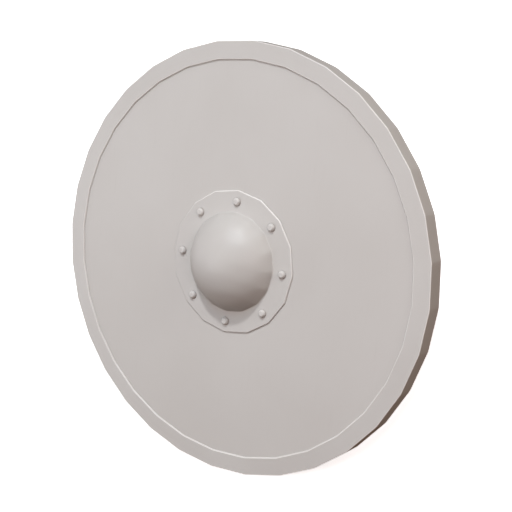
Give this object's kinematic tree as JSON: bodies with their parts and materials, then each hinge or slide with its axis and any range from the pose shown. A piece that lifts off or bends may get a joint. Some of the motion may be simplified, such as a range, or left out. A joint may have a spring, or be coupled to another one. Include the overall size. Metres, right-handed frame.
{
  "type": "buckler shield",
  "caption": "Small round hand shield: flat wooden board with a folded iron rim, a hollow domed iron boss riveted over the hand hole, and a wooden grip across the back.",
  "frame": {"origin": "on the axis of the boss, at the back of the rim, which is what the shield lies on", "axes": "+Z is the front, out through the top of the boss; +X runs along the grip, through a corner of the rim and of the flange"},
  "size_m": [0.45, 0.45, 0.0523],
  "materials": {
    "board_paint": "matt pale warm grey paint over close-grained board",
    "rim_paint": "matt pale warm grey paint over folded iron, rubbed along the corners",
    "boss_paint": "matt pale warm grey paint over hammered iron, with a soft broad highlight",
    "rivet_paint": "matt pale warm grey paint over forged rivet heads",
    "grip_paint": "matt warm grey paint over wood, worn smooth in the hand"
  },
  "bodies": {
    "root": {"board": "board_paint", "rim": "rim_paint", "boss": "boss_paint", "grip": "grip_paint", "boss_rivet_1": "rivet_paint", "boss_rivet_2": "rivet_paint", "boss_rivet_3": "rivet_paint", "boss_rivet_4": "rivet_paint", "boss_rivet_5": "rivet_paint", "boss_rivet_6": "rivet_paint", "boss_rivet_7": "rivet_paint", "boss_rivet_8": "rivet_paint"}
  },
  "joints": []
}
